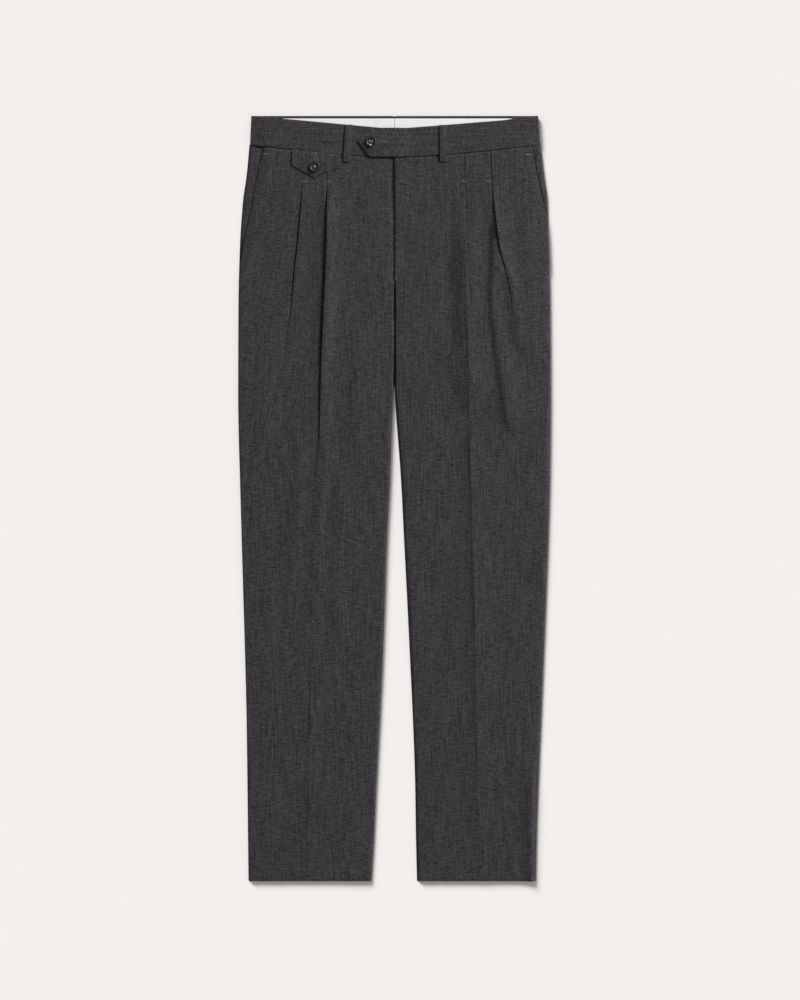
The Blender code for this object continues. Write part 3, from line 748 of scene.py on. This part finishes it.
RIGHT_BAND_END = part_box("waistband_front_right")[1].x * 1000


def fine_edges(length, spacing):
    """Places from 0 to length, close together near both ends, where the wall rounds off."""
    near = (0.0, 0.04, 0.15, 0.35, 0.65, 1.0)
    count = max(int((length - 2 * near[-1]) / spacing), 1)
    middle = [near[-1] + (length - 2 * near[-1]) * step / count for step in range(1, count)]
    return list(near) + middle + [length - step for step in reversed(near)]


def band_top(x):
    """The front waistband's top edge, level at the fly and rising to the side."""
    share = min(max(abs(x) - 15.0, 0.0) / 187.4, 1.0)
    rise = WAIST_TOP - FLY_TOP
    if x < 0:
        return FLY_TOP + rise * share
    return FLY_TOP + 15.0 * share + (rise - 15.0) * ease(share, 0.74, 0.88)


def band_low(x):
    """The band's lower edge, which covers the ends of the panels and of the pocket facings."""
    return band_seam(x) - 0.1 - 0.7 * ease(abs(x), 178.0, 190.0)


def wave(x, y, seed, size=1.0):
    """Low unevenness of a firm band."""
    return size * noise.noise(Vector((x / 26.0, y / 14.0, seed)))


def back_band(leg):
    ups = fine_edges(WAIST_TOP - BACK_BAND_LOW - 0.3, 3.0)
    outs = fine_edges(208.0, 5.0)

    def place(column, row):
        y = WAIST_TOP - ups[row]
        down = ups[row] / ups[-1]
        out = 0.25 + (BAND_REACH - 0.25) * outs[column] / outs[-1]
        out = slanted_side(out, *RIGHT_SLANT, down)
        y -= 1.1 * math.exp(-(out / 0.9) ** 2) * (1 - down)
        up = BACK_BAND_LEVEL + wave(out, y, 41.0, 0.12)
        return SIDE[leg] * out, y, up, y, out * SIDE[leg]

    cut_piece("waistband_back_" + leg, len(outs) - 1, len(ups) - 1, place, 1.3,
              edge_round=BAND_EDGE_ROUND)


def band_height_at(out):
    """The front band lies level, and falls to the back band at the side seam."""
    return BAND_LEVEL + (BAND_SIDE_LEVEL - BAND_LEVEL) * ease(out, 181.0, BAND_REACH)


def band_crinkle(x, y):
    """The right band's small slanting wrinkle near the fob pocket, and a low pillow."""
    across = (x + 88.0) - (496.0 - y) * 0.57
    wrinkle = -0.55 * math.exp(-(across / 2.2) ** 2) + 0.4 * math.exp(-((across - 4.0) / 2.5) ** 2)
    return wrinkle * math.exp(-((y - 496.0) / 6.0) ** 2) + wave(x, y, 43.0, 0.35)


def front_band_place(x, y, low, high, level):
    """A point on a front band: low at both long edges and slightly full between them."""
    part = (y - low) / max(high - low, 0.1)
    full = 0.35 * (1 - (2 * part - 1) ** 4) * min((high - low) / 30.0, 1.0)
    return x, y, level + full - 0.15 + band_crinkle(x, y), y, x


def slanted_side(out, top, bottom, down):
    """Draws a place near the outer end of a band onto the slanting side of the waist."""
    side = top + (bottom - top) * down
    return out + (side - BAND_REACH) * max(out - SLANT_START, 0.0) / (BAND_REACH - SLANT_START)


def front_band_right():
    outs = fine_edges(BAND_REACH + RIGHT_BAND_END, 2.6)
    ups = fine_edges(BAND_HEIGHT, 2.4)

    def place(column, row):
        out = outs[column] - RIGHT_BAND_END
        low, high = band_low(out), band_top(-out)
        y = high + (low - high) * ups[row] / BAND_HEIGHT
        out = slanted_side(out, *RIGHT_SLANT, ups[row] / BAND_HEIGHT)
        return front_band_place(-out, y, low, high, band_height_at(out))

    cut_piece("waistband_front_right", len(outs) - 1, len(ups) - 1, place, BAND_WALL,
              edge_round=BAND_EDGE_ROUND)


def front_band_left():
    steps = fine_edges(BAND_REACH - TAB_TIP, 2.6)
    ups = fine_edges(BAND_HEIGHT, 2.4)

    def place(column, row):
        x = TAB_TIP + steps[column]
        low, high = band_low(x), band_top(x)
        if x < 0:
            taper = min((x - TAB_TIP) / (TAB_SHOULDER - TAB_TIP), 1.0)
            taper = max(taper - 0.035 * math.exp(-((x - TAB_SHOULDER) / 1.6) ** 2), 0.0)
            middle = TAB_MIDDLE - 1.7 * taper
            reach = 0.25 + 20.25 * taper ** 0.94
            low, high = middle - reach, middle + reach
        y = high + (low - high) * ups[row] / BAND_HEIGHT
        x = slanted_side(x, *LEFT_SLANT, ups[row] / BAND_HEIGHT)
        lift = ease(x, 30.0, 4.0)
        level = band_height_at(x) + (TAB_LEVEL - BAND_LEVEL) * lift
        return front_band_place(x, y, low, high, level)

    cut_piece("waistband_front_left", len(steps) - 1, len(ups) - 1, place, BAND_WALL,
              edge_round=BAND_EDGE_ROUND)


def lining_cloth():
    """Off-white twill: pale threads, a fine diagonal rib and faint shading."""
    pale = Finish("waistband_lining", Metallic=0.0, Sheen_Weight=0.05)
    across, along = pale.grain()
    slubs = pale.noise(across / 9.0, along / 0.8, detail=3.0)
    yarns = pale.noise(across / 0.7 + 12.0, along / 14.0, detail=2.0)
    shade = 0.93 + slubs * 0.08 + yarns * 0.06
    colour = pale.mixed(1.0, (0.735, 0.742, 0.735), pale.grey(shade), "MULTIPLY")
    rib = pale.sine((across + along) * 9.0) * 0.5
    normal = pale.bump(rib + slubs, 0.25, 0.00012)
    return pale.surface(Base_Color=colour, Roughness=0.62 + slubs * 0.15, Normal=normal)


LINING_CLOTH = lining_cloth()


def band_lining(leg):
    ups = fine_edges(LINING_HIGH - LINING_LOW, 2.5)
    outs = fine_edges(LINING_REACH - 0.2, 3.0)

    def place(column, row):
        y = LINING_HIGH - ups[row]
        x = SIDE[leg] * (0.2 + outs[column])
        groove = -0.35 * math.exp(-((x + 29.0) / 0.7) ** 2)
        up = LINING_LEVEL + wave(x, y, 47.0, 0.22) + groove
        return x, y, up, y, x

    cut_piece("waistband_lining_" + leg, len(outs) - 1, len(ups) - 1, place, 0.8,
              edge_round=0.7,
              cloth=LINING_CLOTH)


for leg in ("right", "left"):
    back_band(leg)
    band_lining(leg)
front_band_right()
front_band_left()


# ------------------------------------------------------------------------- fob flap, belt loops
# The flap is two layers of worsted bagged out and caught in the right band's seam. A belt loop
# is a strip folded in three, tucked over the band's top edge and sewn down below its seam.

Corner = namedtuple("Corner", "x low")
FLAP_CORNERS = (Corner(-144.3, 468.8), Corner(-113.2, 452.0), Corner(-79.0, 465.4))
FLAP_LEVEL, LOOP_LEVEL = 6.2, 6.4
FLAP_DEPTH = 30.0          # the flap's rows are spaced over this, then fitted
LOOP_WIDTH = 10.6
LOOP_BELOW_SEAM = 10.5
FRONT_LOOPS = {"right": (-67.2, -63.9), "left": (69.0, 68.2)}   # x at the bottom and at the top
REAR_LOOPS = {"right": -118.0, "centre": 0.0, "left": 118.0}


def fob_flap():
    left, point, right = FLAP_CORNERS
    length = right.x - left.x
    steps, ups = fine_edges(length, 1.6), fine_edges(FLAP_DEPTH, 1.6)

    def place(column, row):
        x = left.x + steps[column]
        if x < point.x:
            low = left.low + (point.low - left.low) * (x - left.x) / (point.x - left.x)
        else:
            low = point.low + (right.low - point.low) * (x - point.x) / (right.x - point.x)
        low -= 0.8 * math.exp(-((x - point.x) / 2.2) ** 2)
        down = ups[row] / FLAP_DEPTH
        x += 3.0 * (1 - down) * max(x + 100.0, 0.0) / 21.0
        high = band_seam(x) + 0.5
        y = high + (low - high) * down
        fall = ease(y, high - 3.0, high)
        up = FLAP_LEVEL + 0.25 * wave(x, y, 51.0) + 0.3 - 1.9 * fall
        return x, y, up, x, y

    cut_piece("fob_flap", len(steps) - 1, len(ups) - 1, place, 1.1,
              edge_round=0.5)


def front_loop(leg):
    bottom_x, top_x = FRONT_LOOPS[leg]
    middle = (bottom_x + top_x) / 2
    low, high = band_seam(middle) - LOOP_BELOW_SEAM, band_top(middle) + 0.1
    ups, wides = fine_edges(high - low, 1.5), fine_edges(LOOP_WIDTH, 0.9)

    def place(column, row):
        part = ups[row] / (high - low)
        y = low + ups[row]
        half = wides[column] - LOOP_WIDTH / 2
        x = bottom_x + (top_x - bottom_x) * part + half * (1 - 0.05 * math.sin(math.pi * part))
        bow = 0.9 * math.sin(math.pi * min(part * 1.04, 1.0)) ** 0.7
        stitched = math.exp(-((abs(half) - 3.6) / 0.45) ** 2)
        full = 0.35 * (1 - (half / (LOOP_WIDTH / 2)) ** 2) - 0.22 * stitched
        over_top = -1.9 * ease(y, high - 1.8, high)
        into_seam = -0.5 * (1 - ease(y, low, low + 2.5))
        up = LOOP_LEVEL + bow + full + over_top + into_seam + 0.15 * wave(x * 2, y, 53.0)
        return x, y, up, half, y

    cut_piece("belt_loop_front_" + leg, len(wides) - 1, len(ups) - 1, place, 1.3,
              edge_round=0.5)


def rear_loop(which):
    centre_x = REAR_LOOPS[which]
    low, high = [corner.y * 1000 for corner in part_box("belt_loop_rear_" + which)]
    ups, wides = fine_edges(high - low, 2.0), fine_edges(LOOP_WIDTH, 1.2)

    def place(column, row):
        half = wides[column] - LOOP_WIDTH / 2
        stitched = math.exp(-((abs(half) - 3.6) / 0.45) ** 2)
        return centre_x + half, low + ups[row], 0.55 + 0.12 * stitched, half, low + ups[row]

    cut_piece("belt_loop_rear_" + which, len(wides) - 1, len(ups) - 1, place, 0.95,
              edge_round=0.7)


fob_flap()
for leg in ("right", "left"):
    front_loop(leg)
for which in REAR_LOOPS:
    rear_loop(which)


# --------------------------------------------------------------------------------- horn buttons
# Turned from dark horn with a dished face, a raised rim and four holes, and sewn on with cream
# thread. One closes the tab and a like one closes the fob flap.

BUTTON_RADIUS, BUTTON_THICKNESS, HOLE_RADIUS, HOLE_PITCH = 7.4, 2.6, 0.85, 3.2
DISH = 0.57                # the dished face's height in the middle, by the thickness
BUTTONS = {"waist_button": 8.45, "fob_button": 7.15}     # the height of each button's underside

STREAKS = (                      # pale streaks in the horn: the button, how far off its middle
    ("waist_button", (-0.6, -4.9), 1.6),
    ("fob_button", (1.4, 1.5), 1.5), ("fob_button", (3.2, -1.4), 1.4),
    ("fob_button", (-1.8, 0.3), 1.1),
)


def horn():
    """Near-black horn with amber mottling and yellow-green streaks; a painted highlight lightens
    each rim.
    """
    dark = Finish("dark_horn", Metallic=0.0, IOR=1.45)
    place = dark.node("ShaderNodeTexCoord", {}, output=3)
    swirl = dark.node("ShaderNodeTexNoise",
                      {"Vector": place, "Scale": 170.0, "Detail": 4.0, "Distortion": 1.6})
    grain = dark.node("ShaderNodeTexNoise",
                      {"Vector": place, "Scale": 520.0, "Detail": 2.0, "Distortion": 0.8})
    colour = dark.node("ShaderNodeValToRGB", {0: swirl * 0.7 + grain * 0.3},
                       stops=((0.40, (0.004, 0.0035, 0.004)), (0.56, (0.009, 0.007, 0.006)),
                              (0.66, (0.030, 0.022, 0.009))))

    def away(node, x=0.0, y=0.0):
        """How far the surface is from a place on a button's top, which is x, y off its middle."""
        low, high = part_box(node)
        middle = (low + high) / 2 + Vector((x, y, 0.0)) * 0.001
        middle.z = high.z
        return dark.node("ShaderNodeVectorMath", {0: place, 1: middle}, output=1,
                         operation="DISTANCE")

    nearest = dark.node("ShaderNodeMath", dict(enumerate(map(away, BUTTONS))), operation="MINIMUM")
    # Painted highlight: each button's outer rim is lightened to stand in for the light the raised
    # rim catches.
    rim_painted_highlight = dark.node("ShaderNodeClamp", {0: nearest * 900.0 - 4.9})
    colour = dark.mixed(rim_painted_highlight, colour, (0.014, 0.013, 0.012))
    for node, spot, reach in STREAKS:
        edge = 1.0 - away(node, *spot) * (1000.0 / reach) + (grain - 0.5) * 3.0
        mask = dark.node("ShaderNodeClamp", {0: edge * 2.0})
        colour = dark.mixed(mask, colour, (0.42, 0.38, 0.09))
    return dark.surface(Base_Color=colour, Roughness=0.46 + grain * 0.12,
                        Normal=dark.bump(grain, 0.12, 0.0001))


HORN = horn()


def finished(name, made, material):
    """Makes a bmesh whose sizes are millimetres into a finished piece, shaded smooth."""
    bmesh.ops.scale(made, vec=(0.001, 0.001, 0.001), verts=made.verts)
    mesh = mesh_of(name, made)
    mesh.shade_smooth()
    mesh.set_sharp_from_angle(angle=math.radians(50))
    mesh.materials.append(material)
    piece = placed(name, mesh)
    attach(piece, "root")
    return piece


def turned_button(node, base):
    low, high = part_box(node)
    centre = (low + high) * 500
    profile = table(
        "Turn", "radius height", (0.0, 0.0), (0.66, 0.0), (0.80, 0.05), (0.90, 0.16),
        (0.97, 0.36), (1.0, 0.60), (0.985, 0.80), (0.94, 0.94), (0.88, 1.0), (0.82, 0.98),
        (0.765, 0.89), (0.72, 0.76), (0.67, 0.66), (0.60, 0.61), (0.42, 0.585), (0.0, DISH),
    )
    disc = bmesh.new()
    verts = [disc.verts.new((turn.radius * BUTTON_RADIUS, 0.0, turn.height * BUTTON_THICKNESS))
             for turn in profile]
    edges = [disc.edges.new(pair) for pair in zip(verts, verts[1:])]
    bmesh.ops.spin(disc, geom=verts + edges, cent=(0, 0, 0), axis=(0, 0, 1), angle=2 * math.pi,
                   steps=64, use_merge=True)
    bmesh.ops.remove_doubles(disc, verts=disc.verts, dist=0.001)
    bmesh.ops.recalc_face_normals(disc, faces=disc.faces)
    bmesh.ops.translate(disc, vec=(centre.x, centre.y, base), verts=disc.verts)
    piece = finished(node + "_turned", disc, HORN)

    drills = bmesh.new()
    for dx, dy in ((-0.5, -0.5), (0.5, -0.5), (-0.5, 0.5), (0.5, 0.5)):
        drill = bmesh.ops.create_cone(drills, cap_ends=True, segments=20, radius1=HOLE_RADIUS,
                                      radius2=HOLE_RADIUS, depth=BUTTON_THICKNESS * 3)
        move = (centre.x + dx * HOLE_PITCH, centre.y + dy * HOLE_PITCH, base + 1.3)
        bmesh.ops.translate(drills, vec=move, verts=drill["verts"])
    cutter = finished(node + "_drills", drills, HORN)
    cut = piece.modifiers.new("holes", "BOOLEAN")
    cut.object = cutter
    drilled = bpy.data.meshes.new_from_object(
        piece.evaluated_get(bpy.context.evaluated_depsgraph_get()))
    piece.modifiers.remove(cut)
    piece.data = drilled
    piece.data.set_sharp_from_angle(angle=math.radians(50))
    bpy.data.objects.remove(cutter, do_unlink=True)
    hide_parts(node)
    return centre


# ------------------------------------------------------------------- thread: sewing and stitches
# Bartacks and buttonholes are worked in pale grey silk-like thread, and the buttons are sewn on
# with cream thread. Each stitch is a short bent bar lying on the cloth.


def thread(name, colour):
    """A twisted thread: fine twill shading and a soft gloss."""
    twist = Finish(name, Metallic=0.0, Sheen_Weight=0.2)
    place = twist.node("ShaderNodeTexCoord", {}, output=3)
    ply = twist.node("ShaderNodeTexNoise", {"Vector": place, "Scale": 3000.0, "Detail": 1.0})
    tinted = twist.mixed(1.0, colour, twist.grey(0.75 + ply * 0.5), "MULTIPLY")
    return twist.surface(Base_Color=tinted, Roughness=0.55 + ply * 0.2,
                         Normal=twist.bump(ply, 0.3, 0.00005))


PALE_THREAD = thread("pale_grey_thread", (0.21, 0.21, 0.215))
BUTTON_THREAD = thread("cream_thread", (0.60, 0.58, 0.45))


def straight_bar():
    """A five-sided bar from z = -1 to 1 with rings along it, from which each stitch is bent."""
    bar = bmesh.new()
    bmesh.ops.create_cone(bar, cap_ends=True, segments=5, radius1=1.0, radius2=1.0, depth=2.0)
    upright = [edge for edge in bar.edges if abs(edge.verts[0].co.z - edge.verts[1].co.z) > 1.0]
    bmesh.ops.subdivide_edges(bar, edges=upright, cuts=3)
    return mesh_of("straight_bar", bar)


STRAIGHT_BAR = straight_bar()


def add_stitch(seam, start, end, radius, bow):
    """A stitch from start to end: a thin bar that swells and bows up in its middle."""
    start, end = Vector(start), Vector(end)
    half = (end - start).length / 2
    turn = Vector((0, 0, 1)).rotation_difference(end - start).to_matrix()
    seam.from_mesh(STRAIGHT_BAR)
    seam.verts.ensure_lookup_table()
    for vert in seam.verts[-len(STRAIGHT_BAR.vertices):]:
        along = vert.co.z
        fat = radius * (0.5 + 0.5 * (1 - along * along))
        spot = turn @ Vector((vert.co.x * fat, vert.co.y * fat, along * half))
        vert.co = (start + end) / 2 + spot + Vector((0, 0, bow * (1 - along * along)))


def sewn_on(node, centre, top):
    """Thread through a button's holes: a bar over each pair, or a cross on the fob button."""
    sewing = bmesh.new()
    half = HOLE_PITCH / 2
    crossed = -1 if node == "fob_button" else 1
    for side in (-1, 1):
        for strand in (-0.25, 0.0, 0.25):
            add_stitch(sewing, (centre.x + side * half + strand, centre.y - half, top - 0.75),
                       (centre.x + side * crossed * half + strand, centre.y + half, top - 0.75),
                       0.2, 0.8)
    finished(node + "_thread", sewing, BUTTON_THREAD)


for node, base in BUTTONS.items():
    centre = turned_button(node, base)
    sewn_on(node, centre, base + BUTTON_THICKNESS * DISH)


def surface_height(x, y, pieces):
    """The height of the highest of the given cloth pieces at a place, in millimetres."""
    graph = bpy.context.evaluated_depsgraph_get()
    tops = []
    for piece in pieces:
        shell = bpy.data.objects[piece].evaluated_get(graph)
        found, spot, _, _ = shell.ray_cast(Vector((x, y, 30.0)) * 0.001, Vector((0, 0, -1)))
        if found:
            tops.append(spot.z * 1000)
    return max(tops)


def stitch_over(seam, middle, over, pieces, radius, bow):
    """A stitch lying on the cloth, from one side of a place to the other."""
    up = Vector((0, 0, surface_height(middle.x, middle.y, pieces) + 0.05))
    add_stitch(seam, middle - over + up, middle + over + up, radius, bow)


def bartack(name, x, y, length, angle, pieces):
    """A bar of satin stitches: short ribs across the bar, packed side by side."""
    bar = bmesh.new()
    pitch, half_width = 0.3, 0.42
    lie = Vector((math.cos(angle), math.sin(angle), 0))
    over = Vector((-lie.y, lie.x, 0)) * half_width
    count = int(length / pitch)
    for step in range(count):
        middle = Vector((x, y, 0)) + lie * (step - (count - 1) / 2) * pitch
        lean = lie * 0.12 * (1 if step % 2 else -1)
        stitch_over(bar, middle, over + lean, pieces, 0.21, 0.22)
    finished(name, bar, PALE_THREAD)


def buttonhole(name, spine, pieces, reach=0.34):
    """Buttonhole stitches side by side along both lips of a slit, square to a bent line."""
    hole = bmesh.new()
    pitch = 0.42
    for a, b in zip(spine, spine[1:]):
        a, b = Vector((*a, 0)), Vector((*b, 0))
        along = (b - a).normalized()
        over = Vector((-along.y, along.x, 0)) * reach
        for step in range(max(int((b - a).length / pitch), 1)):
            stitch_over(hole, a + along * (step + 0.5) * pitch, over, pieces, 0.2, 0.24)
    finished(name, hole, PALE_THREAD)


for leg, spot, x, y, length in (
    ("right", "pleat_tack_%s_outer", -126.4, 446.4, 6.6),
    ("right", "pleat_tack_%s_inner", -92.0, 446.4, 6.6),
    ("left", "pleat_tack_%s_inner", 97.6, 446.4, 6.6),
    ("left", "pleat_tack_%s_outer", 132.8, 446.4, 6.6),
    ("right", "pocket_tack_%s", -181.4, 485.0, 6.2), ("left", "pocket_tack_%s", 188.2, 484.0, 8.0),
):
    bartack(spot % leg, x, y, length, 0.0, ["front_%s_cloth" % leg])
bartack("fly_tack", 2.4, 309.5, 5.0, math.pi / 2, ["front_left_cloth", "front_right_cloth"])
buttonhole("tab_buttonhole", ((-27.0, 504.1), (-21.0, 503.4), (-13.6, 502.6), (-12.4, 502.0),
                              (-13.6, 501.4), (-21.0, 500.6), (-27.0, 499.9)),
           ["waistband_front_left_cloth"])
buttonhole("fob_buttonhole", ((-111.9, 475.5), (-110.2, 487.4), (-108.5, 475.5)),
           ["fob_flap_cloth"], reach=0.22)


# ------------------------------------------------------------------------------ floor and lights
# A plain pale floor. The garment is lit softly from the upper right. The floor has a light of
# its own from the upper left, so the shadow on it lies along the right and lower edges.

floor_mesh = bmesh.new()
bmesh.ops.create_grid(floor_mesh, x_segments=1, y_segments=1, size=4.0)
floor = placed("floor", mesh_of("floor", floor_mesh))
paper = Finish("pale_paper", Roughness=1.0, Specular_IOR_Level=0.0)
floor.data.materials.append(paper.surface(Base_Color=(0.93, 0.896, 0.873, 1.0)))


def group_of(name, objects):
    group = bpy.data.collections.new(name)
    for thing in objects:
        group.objects.link(thing)
    return group


def aimed(name, kind, azimuth, elevation, distance, lit):
    """A lamp in a compass direction, which lights only the given objects."""
    data = bpy.data.lights.new(name, kind)
    lamp = placed(name, data)
    a, e = math.radians(azimuth), math.radians(elevation)
    towards = Vector((math.cos(a) * math.cos(e), math.sin(a) * math.cos(e), math.sin(e)))
    lamp.location = towards * distance
    lamp.rotation_euler = towards.to_track_quat("Z", "Y").to_euler()
    lamp.light_linking.receiver_collection = lit
    return data


garment = group_of("garment", [thing for thing in bpy.context.scene.objects
                               if thing.type == "MESH" and thing is not floor])
ground = group_of("ground", [floor])
softbox = aimed("garment_key", "AREA", 40.0, 25.0, 11.0, garment)
softbox.size = 2.6
softbox.energy = 2000.0
sky_lamp = aimed("ground_key", "SUN", 124.0, 22.0, 5.5, ground)
sky_lamp.angle = math.radians(22.0)
sky_lamp.energy = 5.16

world = bpy.data.worlds.new("studio")
world.use_nodes = True
sky = world.node_tree.nodes["Background"]
sky.inputs["Color"].default_value = (1.0, 0.99, 0.985, 1.0)
sky.inputs["Strength"].default_value = 0.35
bpy.context.scene.world = world
bpy.context.scene.view_settings.view_transform = "Standard"


# --------------------------------------------------------------------------------------- camera
# It looks straight down from 3 m above the middle of the garment, which shows flat.

lens = bpy.data.cameras.new("camera")
lens.lens = 76.6
camera = placed("camera", lens)
camera.location = (0.0078, -0.0021, 3.0)
bpy.context.scene.camera = camera
